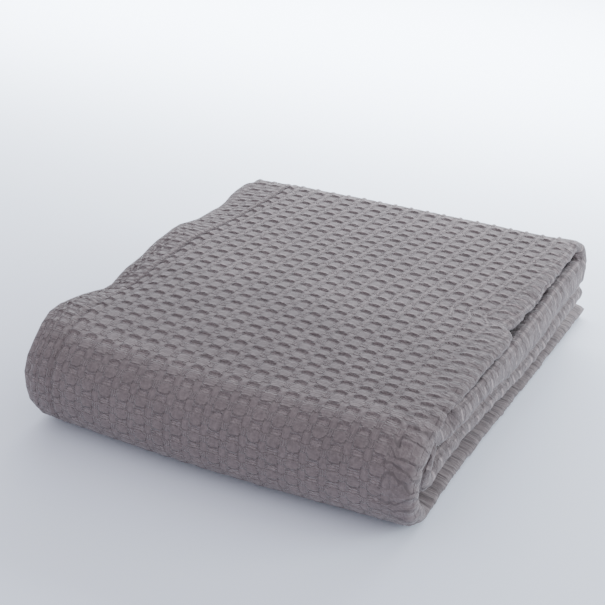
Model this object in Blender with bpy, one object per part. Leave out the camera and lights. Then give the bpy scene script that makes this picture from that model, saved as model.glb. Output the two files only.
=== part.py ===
"""A pique blanket folded to a flat package and lying on a table.

The cloth is folded in half twice across its width and twice along its length,
so that four strips of four layers lie on one another.
X runs along the long front fold, Y to the back and Z up; sizes are in metres.
"""
import math

import bmesh
import bpy

# The package
PACKAGE_WIDTH = 0.330
PACKAGE_DEPTH = 0.356
LAYER_PITCH = 0.0053
CLOTH_THICKNESS = 0.0034
PACKAGE_HEIGHT = 15.0 * LAYER_PITCH + CLOTH_THICKNESS

# The folds at the right side, which run from front to back
OUTER_LIP_REACH = 0.0090
OUTER_LIP_POWER = 2.3
INNER_LIP_SETBACK = 0.0150
LIP_STEPS = 7
TIGHT_FOLD_STEPS = 4

# The large fold along the front and the tight folds behind it
FRONT_FOLD_DEPTH = 0.0430
FRONT_FOLD_POWER = 2.6
FRONT_FOLD_STEPS = 8
STRIP_FOLD_STEPS = 5

# The hem along the left side and at the two ends of the strip
HEM_WIDTH = 0.0290
HEM_THICKENING = 1.16
HEM_GROOVE_DEPTH = 0.0011
HEM_GROOVE_HALF_WIDTH = 0.0025
HEM_DROOP = 0.0036
HEM_DROOP_WIDTH = 0.0110
EDGE_ROUNDING = 0.0012

# Where the hidden layers end at the left side, measured in from the top layer's edge
LEFT_FOLD_SETBACK = 0.0100
LOWER_HEM_SETBACK = 0.0125

# Stations across the flat part of a layer, from left to right
LAYER_STATIONS = (-0.125, -0.095, -0.050, 0.0, 0.050, 0.095, 0.128)

# Rows along the flat part of a run, from front to back; the tuck of the top fold is one
RUN_ROWS = (-0.095, -0.055, -0.010, 0.012, 0.034, 0.075, 0.118)

# The four runs of the strip in the order in which the cloth passes through them.
# The height is in layer pitches, the other sizes are in metres.
RUN_COLUMNS = ("height", "left_setback", "back_end")
RUNS = (
    (2.0, 0.0020, 0.0050),
    (14.0, 0.0000, 0.0000),
    (10.0, 0.0050, 0.0000),
    (6.0, 0.0030, -0.0040),
)

# How far the right fold of each run stands out, from front to back
REACH_COLUMNS = ("y", "bottom", "top", "upper_middle", "lower_middle")
REACH = (
    (-0.178, 0.0005, 0.0000, -0.0040, -0.0060),
    (-0.110, -0.0040, -0.0020, 0.0000, -0.0060),
    (-0.050, -0.0045, -0.0020, 0.0025, -0.0045),
    (-0.010, -0.0040, -0.0010, 0.0030, -0.0040),
    (0.012, -0.0035, -0.0090, 0.0035, -0.0045),
    (0.034, -0.0030, -0.0050, 0.0030, -0.0030),
    (0.100, -0.0015, -0.0040, 0.0030, -0.0010),
    (0.178, 0.0010, -0.0020, 0.0050, -0.0010),
)
REACH_SPREAD = 0.085

# How far the upper left edge drops and is drawn in, from front to back
LEFT_COLUMNS = ("y", "drop", "pull")
LEFT_EDGE = (
    (-0.178, 0.0030, 0.0060),
    (-0.120, -0.0020, -0.0010),
    (-0.063, 0.0060, 0.0040),
    (-0.012, 0.0020, 0.0000),
    (0.030, -0.0030, -0.0020),
    (0.100, 0.0040, 0.0030),
    (0.178, 0.0010, 0.0010),
)
LEFT_EDGE_SPREAD = 0.060

# At the right edge: how far the top drops, how far the underside of the top fold is
# lifted by the fold below it, and the slack above the lowest fold, front to back
RIGHT_COLUMNS = ("y", "drop", "lift", "slack")
RIGHT_EDGE = (
    (-0.178, 0.0060, 0.0000, 0.0030),
    (-0.110, 0.0045, 0.0035, 0.0045),
    (-0.018, 0.0055, 0.0050, 0.0015),
    (0.070, 0.0020, 0.0050, 0.0010),
    (0.178, 0.0010, 0.0030, 0.0040),
)
RIGHT_EDGE_SPREAD = 0.045

# The soft dome of the top, its rise to the back and the fullness of the front
DOME_RISE = 0.0012
BACK_RISE = 0.0030
FRONT_BULGE = 0.0040
FRONT_FOOT = 0.0030

CLOTH_COLOUR = (0.235, 0.215, 0.222, 1.0)


def smooth_step(start, end, value):
    t = min(1.0, max(0.0, (value - start) / (end - start)))
    return t * t * (3.0 - 2.0 * t)


def read_table(table, columns, name, at):
    """Read a column of a table whose first column rises, eased between its rows."""
    column = columns.index(name)
    if at <= table[0][0]:
        return table[0][column]
    for low, high in zip(table, table[1:]):
        if at <= high[0]:
            t = smooth_step(low[0], high[0], at)
            return low[column] + (high[column] - low[column]) * t
    return table[-1][column]


def run_value(run, name):
    """Read a column of the runs at a place along the strip; half numbers lie in a fold."""
    column = RUN_COLUMNS.index(name)
    low = min(len(RUNS) - 2, int(run))
    t = smooth_step(0.0, 1.0, run - low)
    return RUNS[low][column] + (RUNS[low + 1][column] - RUNS[low][column]) * t


def superellipse(angle, half_width, half_height, power):
    """Give a point and its outward direction on a rounded end."""
    c = max(0.0, math.cos(angle))
    s = math.sin(angle)
    x = half_width * c ** (2.0 / power)
    y = math.copysign(half_height * abs(s) ** (2.0 / power), s)
    dx = c ** (2.0 - 2.0 / power) / half_width
    dy = math.copysign(abs(s) ** (2.0 - 2.0 / power) / half_height, s)
    length = math.hypot(dx, dy)
    return x, y, dx / length, dy / length


def flat_stations(start, end):
    """Give the stations of a layer between two ends, in the order of travel."""
    low = min(start, end)
    high = max(start, end)
    inside = [u for u in LAYER_STATIONS if low + 0.004 < u < high - 0.004]
    stations = [low] + inside + [high]
    return stations if start < end else stations[::-1]


def hem_stations(edge):
    """Give the close stations of a hem from its edge to just past the groove."""
    groove = edge + HEM_WIDTH
    return [
        edge + EDGE_ROUNDING,
        edge + 0.5 * HEM_DROOP_WIDTH,
        edge + HEM_DROOP_WIDTH,
        groove - HEM_GROOVE_HALF_WIDTH,
        groove,
        groove + HEM_GROOVE_HALF_WIDTH,
    ]


def strip_section():
    """Work out the folded strip's section as (u, w, outward u, outward w, half, groove).

    The middle of the cloth runs from the hem of the outer layer to the right, round
    the outer lip, back to the left fold, right again to the inner lip and back to the
    lower hem.
    """
    left = -0.5 * PACKAGE_WIDTH
    outer = 1.5 * LAYER_PITCH
    inner = 0.5 * LAYER_PITCH
    half = 0.5 * CLOTH_THICKNESS
    hem_half = half * HEM_THICKENING
    lip_u = 0.5 * PACKAGE_WIDTH - half - OUTER_LIP_REACH
    inner_lip_u = 0.5 * PACKAGE_WIDTH - INNER_LIP_SETBACK - inner
    left_fold_u = left + LEFT_FOLD_SETBACK + inner
    section = []

    def droop(u):
        return HEM_DROOP * (1.0 - smooth_step(0.0, HEM_DROOP_WIDTH, u - left))

    # Outer layer with its hem
    section.append((left, outer - droop(left), 0.0, 1.0, 0.55 * hem_half, 0.0))
    for u in hem_stations(left):
        in_hem = u < left + HEM_WIDTH + 0.5 * HEM_GROOVE_HALF_WIDTH
        dip = HEM_GROOVE_DEPTH if abs(u - left - HEM_WIDTH) < 1e-6 else 0.0
        section.append((u, outer - droop(u), 0.0, 1.0, hem_half if in_hem else half, dip))
    start = left + HEM_WIDTH + HEM_GROOVE_HALF_WIDTH
    for u in flat_stations(start, lip_u)[1:]:
        section.append((u, outer, 0.0, 1.0, half, 0.0))

    # Outer lip
    for step in range(1, LIP_STEPS):
        angle = 0.5 * math.pi - math.pi * step / LIP_STEPS
        u, w, du, dw = superellipse(angle, OUTER_LIP_REACH, outer, OUTER_LIP_POWER)
        section.append((lip_u + u, w, du, dw, half, 0.0))

    # Lowest layer and the left fold
    for u in flat_stations(lip_u, left_fold_u):
        section.append((u, -outer, 0.0, -1.0, half, 0.0))
    for step in range(1, TIGHT_FOLD_STEPS):
        angle = -0.5 * math.pi - math.pi * step / TIGHT_FOLD_STEPS
        du = math.cos(angle)
        dw = math.sin(angle)
        section.append((left_fold_u + inner * du, -LAYER_PITCH + inner * dw, du, dw, half, 0.0))

    # Third layer and the inner lip
    for u in flat_stations(left_fold_u, inner_lip_u):
        section.append((u, -inner, 0.0, 1.0, half, 0.0))
    for step in range(1, TIGHT_FOLD_STEPS):
        angle = -0.5 * math.pi + math.pi * step / TIGHT_FOLD_STEPS
        du = math.cos(angle)
        dw = math.sin(angle)
        section.append((inner_lip_u + inner * du, inner * dw, -du, -dw, half, 0.0))

    # Second layer with the lower hem
    lower_edge = left + LOWER_HEM_SETBACK
    for u in flat_stations(inner_lip_u, lower_edge + EDGE_ROUNDING):
        section.append((u, inner, 0.0, -1.0, half, 0.0))
    section.append((lower_edge, inner, 0.0, -1.0, 0.55 * half, 0.0))
    return section


def strip_path():
    """Work out the strip's path as (y, z, outward y, outward z, run, plumpness)."""
    front = -0.5 * PACKAGE_DEPTH + FRONT_FOLD_DEPTH
    thick = 2.0 * LAYER_PITCH - 0.5 * (LAYER_PITCH - CLOTH_THICKNESS)
    back = 0.5 * PACKAGE_DEPTH - thick - 2.0 * LAYER_PITCH
    heights = [row[0] * LAYER_PITCH for row in RUNS]
    rows_y = [front] + list(RUN_ROWS) + [back]
    path = []

    # Bottom run, from its hem at the back to the front
    end = 0.5 * PACKAGE_DEPTH + run_value(0.0, "back_end")
    path.append((end, heights[0], 0.0, -1.0, 0.0, 0.55))
    path.append((end - EDGE_ROUNDING, heights[0], 0.0, -1.0, 0.0, 1.0))
    for y in rows_y[::-1]:
        path.append((y, heights[0], 0.0, -1.0, 0.0, 1.0))

    # Large front fold
    middle = 0.5 * (heights[0] + heights[1])
    rise = 0.5 * (heights[1] - heights[0])
    for step in range(1, FRONT_FOLD_STEPS):
        angle = -0.5 * math.pi + math.pi * step / FRONT_FOLD_STEPS
        y, z, dy, dz = superellipse(angle, FRONT_FOLD_DEPTH - thick, rise, FRONT_FOLD_POWER)
        path.append((front - y, middle + z, -dy, dz, step / FRONT_FOLD_STEPS, 1.0))

    # Top run and the back fold
    for y in rows_y:
        path.append((y, heights[1], 0.0, 1.0, 1.0, 1.0))
    middle = 0.5 * (heights[1] + heights[2])
    radius = 0.5 * (heights[1] - heights[2])
    for step in range(1, STRIP_FOLD_STEPS):
        angle = 0.5 * math.pi - math.pi * step / STRIP_FOLD_STEPS
        dy = math.cos(angle)
        dz = math.sin(angle)
        path.append((back + radius * dy, middle + radius * dz, dy, dz, 1.0 + step / STRIP_FOLD_STEPS, 1.0))

    # Upper middle run and the inner front fold
    for y in rows_y[::-1]:
        path.append((y, heights[2], 0.0, -1.0, 2.0, 1.0))
    middle = 0.5 * (heights[2] + heights[3])
    for step in range(1, STRIP_FOLD_STEPS):
        angle = 0.5 * math.pi + math.pi * step / STRIP_FOLD_STEPS
        dy = math.cos(angle)
        dz = math.sin(angle)
        path.append((front + radius * dy, middle + radius * dz, -dy, -dz, 2.0 + step / STRIP_FOLD_STEPS, 1.0))

    # Lower middle run to its hem at the back
    for y in rows_y:
        path.append((y, heights[3], 0.0, 1.0, 3.0, 1.0))
    end = 0.5 * PACKAGE_DEPTH + run_value(3.0, "back_end")
    path.append((end - EDGE_ROUNDING, heights[3], 0.0, 1.0, 3.0, 1.0))
    path.append((end, heights[3], 0.0, 1.0, 3.0, 0.55))
    return path


def lip_reach(run, y):
    """Give how far the right folds stand out at a place along the strip."""
    low = min(len(RUNS) - 2, int(run))
    t = smooth_step(0.0, 1.0, run - low)
    names = REACH_COLUMNS[1:]
    first = read_table(REACH, REACH_COLUMNS, names[low], y)
    second = read_table(REACH, REACH_COLUMNS, names[low + 1], y)
    return first + (second - first) * t


def settle(x, y, z, run):
    """Lay a point of the even package as the cloth really lies, with its foot kept flat."""
    half_width = 0.5 * PACKAGE_WIDTH
    half_depth = 0.5 * PACKAGE_DEPTH
    share = z / PACKAGE_HEIGHT
    near_left = smooth_step(-half_width + LEFT_EDGE_SPREAD, -half_width, x)
    near_right = smooth_step(half_width - RIGHT_EDGE_SPREAD, half_width, x)
    at_reach = smooth_step(half_width - REACH_SPREAD, half_width, x)
    near_front = smooth_step(-half_depth + 1.6 * FRONT_FOLD_DEPTH, -half_depth, y)
    near_back = smooth_step(0.0, half_depth, y)

    # Sideways
    pull = read_table(LEFT_EDGE, LEFT_COLUMNS, "pull", y) * (0.4 + 0.6 * share)
    pull += run_value(run, "left_setback")
    new_x = x + near_left * pull + at_reach * lip_reach(run, y)

    # Forward, with the foot of the front fuller than its top
    middle = max(0.0, math.cos(math.pi * x / PACKAGE_WIDTH))
    foot = smooth_step(0.6, 0.12, share)
    new_y = y - near_front * middle * (FRONT_BULGE * (1.0 - share) + FRONT_FOOT * foot)

    # Upward
    rise = DOME_RISE * max(0.0, math.cos(math.pi * x / PACKAGE_WIDTH))
    rise += BACK_RISE * near_back
    rise -= near_left * read_table(LEFT_EDGE, LEFT_COLUMNS, "drop", y)
    rise -= near_right * read_table(RIGHT_EDGE, RIGHT_COLUMNS, "drop", y)
    slack = read_table(RIGHT_EDGE, RIGHT_COLUMNS, "slack", y)
    slack *= smooth_step(3.5, 5.0, z / LAYER_PITCH) * (1.0 - share) * near_right
    level = z / LAYER_PITCH
    lift = read_table(RIGHT_EDGE, RIGHT_COLUMNS, "lift", y) * near_right
    lift *= smooth_step(7.0, 12.0, level) * smooth_step(16.0, 12.0, level)
    return new_x, new_y, max(0.0, z + share * rise + slack + lift)


def centre_footprint(work):
    """Put the middle of the outline's box over the origin."""
    xs = [v.co.x for v in work.verts]
    ys = [v.co.y for v in work.verts]
    shift = (-0.5 * (min(xs) + max(xs)), -0.5 * (min(ys) + max(ys)), 0.0)
    bmesh.ops.translate(work, verts=work.verts[:], vec=shift)


def build_blanket():
    """Sweep the strip's section along its path as one closed solid."""
    section = strip_section()
    path = strip_path()
    floor = 0.5 * (LAYER_PITCH - CLOTH_THICKNESS)
    mesh = bpy.data.meshes.new("blanket")
    work = bmesh.new()
    rings = []
    for y, z, ny, nz, run, plump in path:
        ring = []
        sides = []
        for u, w, du, dw, half, groove in section:
            sides.append((u + du * (half - groove) * plump, w + dw * (half - groove) * plump))
        for u, w, du, dw, half, groove in section[::-1]:
            sides.append((u - du * half * plump, w - dw * half * plump))
        for u, w in sides:
            place = settle(u, y + w * ny, z + w * nz - floor, run)
            ring.append(work.verts.new(place))
        rings.append(ring)
    count = len(section)
    around = 2 * count
    for first, second in zip(rings, rings[1:]):
        for i in range(around):
            j = (i + 1) % around
            work.faces.new((first[i], first[j], second[j], second[i]))
    for ring in (rings[0], rings[-1]):
        for i in range(count - 1):
            k = around - 1 - i
            work.faces.new((ring[i], ring[i + 1], ring[k - 1], ring[k]))
    bmesh.ops.triangulate(work, faces=work.faces[:])
    bmesh.ops.recalc_face_normals(work, faces=work.faces[:])
    if work.calc_volume(signed=True) < 0.0:
        bmesh.ops.reverse_faces(work, faces=work.faces[:])
    centre_footprint(work)
    work.to_mesh(mesh)
    work.free()
    blanket = bpy.data.objects.new("blanket", mesh)
    bpy.context.scene.collection.objects.link(blanket)
    return blanket


def cloth_material():
    material = bpy.data.materials.new("fabric")
    material.use_nodes = True
    shader = material.node_tree.nodes["Principled BSDF"]
    shader.inputs["Base Color"].default_value = CLOTH_COLOUR
    shader.inputs["Roughness"].default_value = 0.95
    return material


def main():
    for old in list(bpy.data.objects):
        bpy.data.objects.remove(old, do_unlink=True)
    blanket = build_blanket()
    blanket.data.materials.append(cloth_material())


main()
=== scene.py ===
"""A folded pique blanket with its woven relief, its hems and a plain studio around it."""
import math

import bmesh
import bpy
import numpy as np
from bpy.props import FloatProperty, FloatVectorProperty, IntProperty, PointerProperty
from mathutils import Matrix, Vector


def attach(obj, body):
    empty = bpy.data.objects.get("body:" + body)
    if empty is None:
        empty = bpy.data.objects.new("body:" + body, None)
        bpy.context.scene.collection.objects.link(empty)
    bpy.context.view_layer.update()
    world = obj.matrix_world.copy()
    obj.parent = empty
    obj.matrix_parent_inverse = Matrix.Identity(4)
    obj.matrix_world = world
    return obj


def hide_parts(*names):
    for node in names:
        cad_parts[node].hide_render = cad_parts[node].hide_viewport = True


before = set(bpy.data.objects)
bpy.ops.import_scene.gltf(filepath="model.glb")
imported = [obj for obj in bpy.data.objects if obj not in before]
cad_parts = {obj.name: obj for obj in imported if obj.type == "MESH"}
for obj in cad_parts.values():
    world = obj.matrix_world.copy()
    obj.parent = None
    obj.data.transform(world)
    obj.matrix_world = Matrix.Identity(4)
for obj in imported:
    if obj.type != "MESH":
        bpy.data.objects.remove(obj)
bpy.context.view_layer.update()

bl_info = {
    "name": "Folded pique blanket",
    "version": (1, 0, 0),
    "blender": (4, 5, 0),
    "location": "3D View > Sidebar > Blanket",
    "description": "Builds a folded pique blanket with its woven relief and hems",
    "category": "Add Mesh",
}

# The middle of the package's box lies this far from the middle of its even plan
SHIFT = (-0.0012692, -0.0012085)

# The shape of the folds and the hem, and in how many steps each stretch is worked out
FOLD_STEPS = 400
OUTER_LIP_REACH = 0.0090
OUTER_LIP_POWER = 2.05
INNER_LIP_SETBACK = 0.0150
FRONT_FOLD_POWER = 2.25
HEM_THICKENING = 1.16
HEM_DROOP = 0.0036
HEM_DROOP_WIDTH = 0.0110
HEM_WAVE = 0.0016
HEM_WAVE_RISE = 0.6
HEM_STEP = (0.0045, -0.0010)
EDGE_ROUNDING = 0.0014
EDGE_THINNEST = 0.35
LEFT_FOLD_SETBACK = 0.0100
LOWER_HEM_SETBACK = 0.0125

# The layer pitches from the lowest layer's middle to the top layer's middle
PACKAGE_LEVELS = 15.0

# The four runs of the strip; the height is in layer pitches
RUN_COLUMNS = ("height", "left_setback", "back_end")
RUNS = (
    (2.0, 0.0020, 0.0205),
    (14.0, 0.0000, 0.0000),
    (10.0, 0.0050, 0.0000),
    (6.0, 0.0030, -0.0040),
)

# How far the right fold of each run stands out, from front to back
REACH_COLUMNS = ("y", "bottom", "top", "upper_middle", "lower_middle")
REACH = (
    (-0.178, -0.0010, -0.0010, -0.0040, -0.0050),
    (-0.110, -0.0050, -0.0020, -0.0005, -0.0040),
    (-0.050, -0.0055, -0.0020, 0.0010, -0.0030),
    (0.000, -0.0055, -0.0005, 0.0015, -0.0025),
    (0.011, -0.0055, -0.0095, 0.0015, -0.0025),
    (0.030, -0.0055, -0.0060, 0.0015, -0.0022),
    (0.100, -0.0050, -0.0045, 0.0020, -0.0010),
    (0.178, -0.0040, -0.0048, 0.0030, -0.0010),
)
REACH_SPREAD = 0.085

# How far the upper left edge drops and is drawn in, from front to back
LEFT_COLUMNS = ("y", "drop", "pull")
LEFT_EDGE = (
    (-0.178, 0.0020, 0.0070),
    (-0.120, -0.0025, 0.0000),
    (-0.063, 0.0080, 0.0050),
    (-0.012, 0.0040, 0.0010),
    (0.030, -0.0005, -0.0010),
    (0.100, 0.0060, 0.0035),
    (0.178, 0.0010, 0.0010),
)
LEFT_EDGE_SPREAD = 0.060
PULL_AT_FOOT = 0.4

# The right edge from front to back: drop of the top, and heights of the gaps between runs
RIGHT_COLUMNS = ("y", "drop", "low_gap", "middle_gap", "high_gap")
RIGHT_EDGE = (
    (-0.178, 0.0060, 0.0230, 0.0430, 0.0640),
    (-0.123, 0.0045, 0.0245, 0.0460, 0.0700),
    (-0.100, 0.0048, 0.0279, 0.0465, 0.0705),
    (-0.060, 0.0050, 0.0270, 0.0447, 0.0690),
    (-0.030, 0.0054, 0.0258, 0.0440, 0.0695),
    (0.000, 0.0050, 0.0235, 0.0405, 0.0675),
    (0.030, 0.0038, 0.0203, 0.0380, 0.0680),
    (0.050, 0.0025, 0.0200, 0.0378, 0.0692),
    (0.075, 0.0018, 0.0205, 0.0400, 0.0718),
    (0.100, 0.0012, 0.0235, 0.0435, 0.0745),
    (0.130, 0.0004, 0.0260, 0.0445, 0.0764),
    (0.178, -0.0010, 0.0255, 0.0455, 0.0768),
)
RIGHT_EDGE_SPREAD = 0.045
GAP_SPREAD = 0.030
GAP_RUN_OUT = 0.004
GAP_FRONT = (-0.150, -0.120)

# The layer pitches from gap to gap, and from the foot to the top
GAP_LEVELS = 4.0
TOP_LEVEL = 16.0

# The dome of the top and the fullness of the front
DOME_RISE = 0.0012
BACK_RISE = 0.0030
FRONT_BULGE = 0.0040
BULGE_REACH = 1.6
FRONT_FOOT = 0.0030
FOOT_SHARES = (0.6, 0.12)

# The top droops towards the front fold, from here to here
SHOULDER_DROOP = 0.0095
SHOULDER_FROM = -0.015
SHOULDER_TO = -0.140
DROOP_AT_SIDES = 0.45

# The layers above the lowest fold are set in at the right; levels are in layer pitches
UNDERCUT = 0.0340
UNDERCUT_WIDTH = 0.040
UNDERCUT_LEVELS = (1.2, 2.7, 4.1, 4.9)
UNDERCUT_FRONT = (-0.155, -0.125)

# Dents in the right side: y, z, depth, radius in y and radius in z
DENTS = (
    (-0.113, 0.0600, 0.0120, 0.0110, 0.0090),
    (-0.128, 0.0480, 0.0060, 0.0080, 0.0090),
    (0.006, 0.0700, 0.0080, 0.0080, 0.0040),
    (0.085, 0.0740, 0.0030, 0.0100, 0.0030),
    (-0.060, 0.0460, 0.0030, 0.0090, 0.0050),
)

# The rows of the weave: their number counted from the top's back edge, and where each
# lies along the cloth
ROW_COLUMNS = ("row", "along")
ROWS = (
    (-55.0, 1.4008),
    (0.0, 0.7148),
    (10.0, 0.5998),
    (17.0, 0.5136),
    (20.5, 0.4722),
    (24.0, 0.4290),
    (25.0, 0.4171),
    (30.0, 0.3610),
    (59.0, -0.0100),
)

# How the columns of the weave lean along the cloth
LEAN_COLUMNS = ("along", "lean")
LEAN = (
    (0.318, -0.0140),
    (0.420, -0.0165),
    (0.453, -0.0190),
    (0.500, -0.0216),
    (0.553, -0.0186),
    (0.593, -0.0160),
    (0.633, -0.0105),
    (0.673, -0.0050),
    (0.710, 0.0000),
)

# Places inside a cell where the mesh has its lines, across and along
ACROSS = (0.0, 0.08, 0.17, 0.27, 0.39, 0.50, 0.61, 0.73, 0.83, 0.92)
ALONG = (0.0, 0.055, 0.11, 0.19, 0.29, 0.42, 0.64, 0.93)
ALONG_LIPS = (0.0, 0.11, 0.30, 0.52, 0.78)
ACROSS_UNDER = (0.0, 0.27, 0.50, 0.73)

# Lines beside the cloth's edges, and how near to the last of them a row may end, in rows
EDGE_LINES = (0.0, 0.0005, 0.0014)
EDGE_MARGIN = 0.15

# Where the weave's columns start and end across, and its fine rows along; about half a column
# fits between the hem's edge and the first
FIRST_COLUMN = 0.0120
FIRST_HALF_COLUMN = -0.45
LAST_COLUMN_AT = 0.357
FINE_ROWS_FROM = 0.330
FINE_ROWS_TO = 0.752
GROOVE_COLUMN = 2.20
FIRST_LIP_COLUMN = 18

# A stretch without relief has a line for each such turn and each such length
PLAIN_TURN = 0.52
PLAIN_LENGTH = 0.050

# The weave's unevenness, drawn for each cell of a grid of columns and rows, in which row 0
# lies at this place: how far a crest is bowed, and how far it slips along
UNEVEN_GRID = (90, 140)
UNEVEN_FIRST_ROW = 60
ARC_SPREAD = (0.7, 1.3)
SLIP_SPREAD = 0.035
ARC_NARROWING = 2.2

# Where the rows are straight again, near the edges and inside the folds
STRAIGHT_ENDS = 0.030
BOWED_TO = (0.395, 0.370)
BOWED_FROM = (0.0, 0.012)
LEANING_TO = (0.430, 0.350)
LEANING_FROM = (0.0, 0.040)

# The rows dip towards the right fold: how far, and where it starts and ends
ROW_DIP = 0.009
DIP_ACROSS = (0.170, 0.285, 0.305, 0.345)
DIP_ALONG = (0.430, 0.500, 0.580, 0.660)

# The hem's edge is uneven over this width and this stretch of the cloth, in two waves: share,
# angle for each row and starting angle
HEM_WAVES = ((0.6, 2.0 * math.pi, 0.0), (0.4, 4.6, 1.0))
HEM_WAVE_WIDTHS = (0.016, 0.002)
HEM_WAVE_ALONG = (0.330, 0.360, 0.730, 0.750)

# The relief fades inside the folds, and the lip's relief lies round the right folds
RELIEF_EDGE = (-0.001, 0.003)
RELIEF_END = (0.372, 0.352)
LIP_START = (0.314, 0.326)
HEM_RELIEF = 0.70


def smooth(start, end, value):
    t = np.clip((value - start) / (end - start), 0.0, 1.0)
    return t * t * (3.0 - 2.0 * t)


def plateau(limits, value):
    """Rise from 0 to 1 between the first two limits and fall between the last two."""
    return smooth(limits[0], limits[1], value) * smooth(limits[3], limits[2], value)


def column(table, columns, name, at):
    """Read a column of a table whose first column rises, eased between its rows."""
    rows = np.array(table)
    first = rows[:, 0]
    values = rows[:, columns.index(name)]
    low = np.clip(np.searchsorted(first, at) - 1, 0, len(first) - 2)
    t = smooth(0.0, 1.0, (at - first[low]) / (first[low + 1] - first[low]))
    return values[low] * (1.0 - t) + values[low + 1] * t


def straight(table, columns, name, at):
    """Read a column of a table with straight lines between its rows."""
    rows = np.array(table)
    return np.interp(at, rows[:, 0], rows[:, columns.index(name)])


def run_value(run, name):
    """Read a column of the runs; half numbers lie in a fold."""
    values = np.array(RUNS)[:, RUN_COLUMNS.index(name)]
    low = np.clip(run.astype(int), 0, len(RUNS) - 2)
    t = smooth(0.0, 1.0, run - low)
    return values[low] * (1.0 - t) + values[low + 1] * t


def superellipse(angle, half_width, half_height, power):
    """Give points and their outward directions on a rounded end."""
    c = np.maximum(0.0, np.cos(angle))
    s = np.sin(angle)
    x = half_width * c ** (2.0 / power)
    y = np.sign(s) * half_height * np.abs(s) ** (2.0 / power)
    dx = c ** (2.0 - 2.0 / power) / half_width
    dy = np.sign(s) * np.abs(s) ** (2.0 - 2.0 / power) / half_height
    length = np.hypot(dx, dy)
    return x, y, dx / length, dy / length


def with_length(parts):
    """Join runs of points into one line and measure along it."""
    line = np.concatenate(parts)
    steps = np.hypot(np.diff(line[:, 0]), np.diff(line[:, 1]))
    keep = np.concatenate([[True], steps > 1e-9])
    line = line[keep]
    steps = np.hypot(np.diff(line[:, 0]), np.diff(line[:, 1]))
    return np.concatenate([[0.0], np.cumsum(steps)]), line


def rows_of(count, *values):
    """Stack values as columns; a single number fills its whole column."""
    return np.stack([np.broadcast_to(v, (count,)).astype(float) for v in values], axis=1)


def strip_section(sizes):
    """Work out the folded strip's section: how far across, and (u, w, outward u, outward w)."""
    pitch = sizes.layer_pitch
    left = -0.5 * sizes.package_width
    outer = 1.5 * pitch
    inner = 0.5 * pitch
    half = 0.5 * sizes.cloth_thickness
    lip_u = 0.5 * sizes.package_width - half - OUTER_LIP_REACH
    inner_lip_u = 0.5 * sizes.package_width - INNER_LIP_SETBACK - inner
    left_fold_u = left + LEFT_FOLD_SETBACK + inner
    lower_edge = left + LOWER_HEM_SETBACK
    count = FOLD_STEPS

    u = np.linspace(left, lip_u, count)
    droop = HEM_DROOP * (1.0 - smooth(0.0, HEM_DROOP_WIDTH, u - left))
    parts = [rows_of(count, u, outer - droop, 0.0, 1.0)]
    angle = np.linspace(0.5 * math.pi, -0.5 * math.pi, count)
    u, w, du, dw = superellipse(angle, OUTER_LIP_REACH, outer, OUTER_LIP_POWER)
    parts.append(rows_of(count, lip_u + u, w, du, dw))
    parts.append(rows_of(count, np.linspace(lip_u, left_fold_u, count), -outer, 0.0, -1.0))
    angle = np.linspace(-0.5 * math.pi, -1.5 * math.pi, count)
    du = np.cos(angle)
    dw = np.sin(angle)
    parts.append(rows_of(count, left_fold_u + inner * du, -pitch + inner * dw, du, dw))
    parts.append(rows_of(count, np.linspace(left_fold_u, inner_lip_u, count), -inner, 0.0, 1.0))
    angle = np.linspace(-0.5 * math.pi, 0.5 * math.pi, count)
    du = np.cos(angle)
    dw = np.sin(angle)
    parts.append(rows_of(count, inner_lip_u + inner * du, inner * dw, -du, -dw))
    parts.append(rows_of(count, np.linspace(inner_lip_u, lower_edge, count), inner, 0.0, -1.0))
    return with_length(parts)


def strip_path(sizes):
    """Work out the strip's path: how far along, and (y, z, outward y, outward z, run)."""
    pitch = sizes.layer_pitch
    depth = sizes.package_depth
    front = -0.5 * depth + sizes.front_fold_depth
    thick = 2.0 * pitch - 0.5 * (pitch - sizes.cloth_thickness)
    back = 0.5 * depth - thick - 2.0 * pitch
    heights = [row[0] * pitch for row in RUNS]
    ends = [0.5 * depth + row[2] for row in RUNS]
    count = FOLD_STEPS
    share = np.linspace(0.0, 1.0, count)

    parts = [rows_of(count, np.linspace(ends[0], front, count), heights[0], 0.0, -1.0, 0.0)]
    middle = 0.5 * (heights[0] + heights[1])
    rise = 0.5 * (heights[1] - heights[0])
    angle = -0.5 * math.pi + math.pi * share
    y, z, dy, dz = superellipse(angle, sizes.front_fold_depth - thick, rise, FRONT_FOLD_POWER)
    parts.append(rows_of(count, front - y, middle + z, -dy, dz, share))
    parts.append(rows_of(count, np.linspace(front, back, count), heights[1], 0.0, 1.0, 1.0))
    middle = 0.5 * (heights[1] + heights[2])
    radius = 0.5 * (heights[1] - heights[2])
    angle = 0.5 * math.pi - math.pi * share
    dy = np.cos(angle)
    dz = np.sin(angle)
    parts.append(rows_of(count, back + radius * dy, middle + radius * dz, dy, dz, 1.0 + share))
    parts.append(rows_of(count, np.linspace(back, front, count), heights[2], 0.0, -1.0, 2.0))
    middle = 0.5 * (heights[2] + heights[3])
    angle = 0.5 * math.pi + math.pi * share
    dy = np.cos(angle)
    dz = np.sin(angle)
    parts.append(rows_of(count, front + radius * dy, middle + radius * dz, -dy, -dz, 2.0 + share))
    parts.append(rows_of(count, np.linspace(front, ends[3], count), heights[3], 0.0, 1.0, 3.0))
    return with_length(parts)


def lip_reach(run, y):
    """Give how far the right folds stand out at a place along the strip."""
    names = REACH_COLUMNS[1:]
    all_runs = np.stack([column(REACH, REACH_COLUMNS, name, y) for name in names])
    low = np.clip(run.astype(int), 0, len(names) - 2)
    t = smooth(0.0, 1.0, run - low)
    first = np.take_along_axis(all_runs, low[None], 0)[0]
    second = np.take_along_axis(all_runs, (low + 1)[None], 0)[0]
    return first + (second - first) * t


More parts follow.
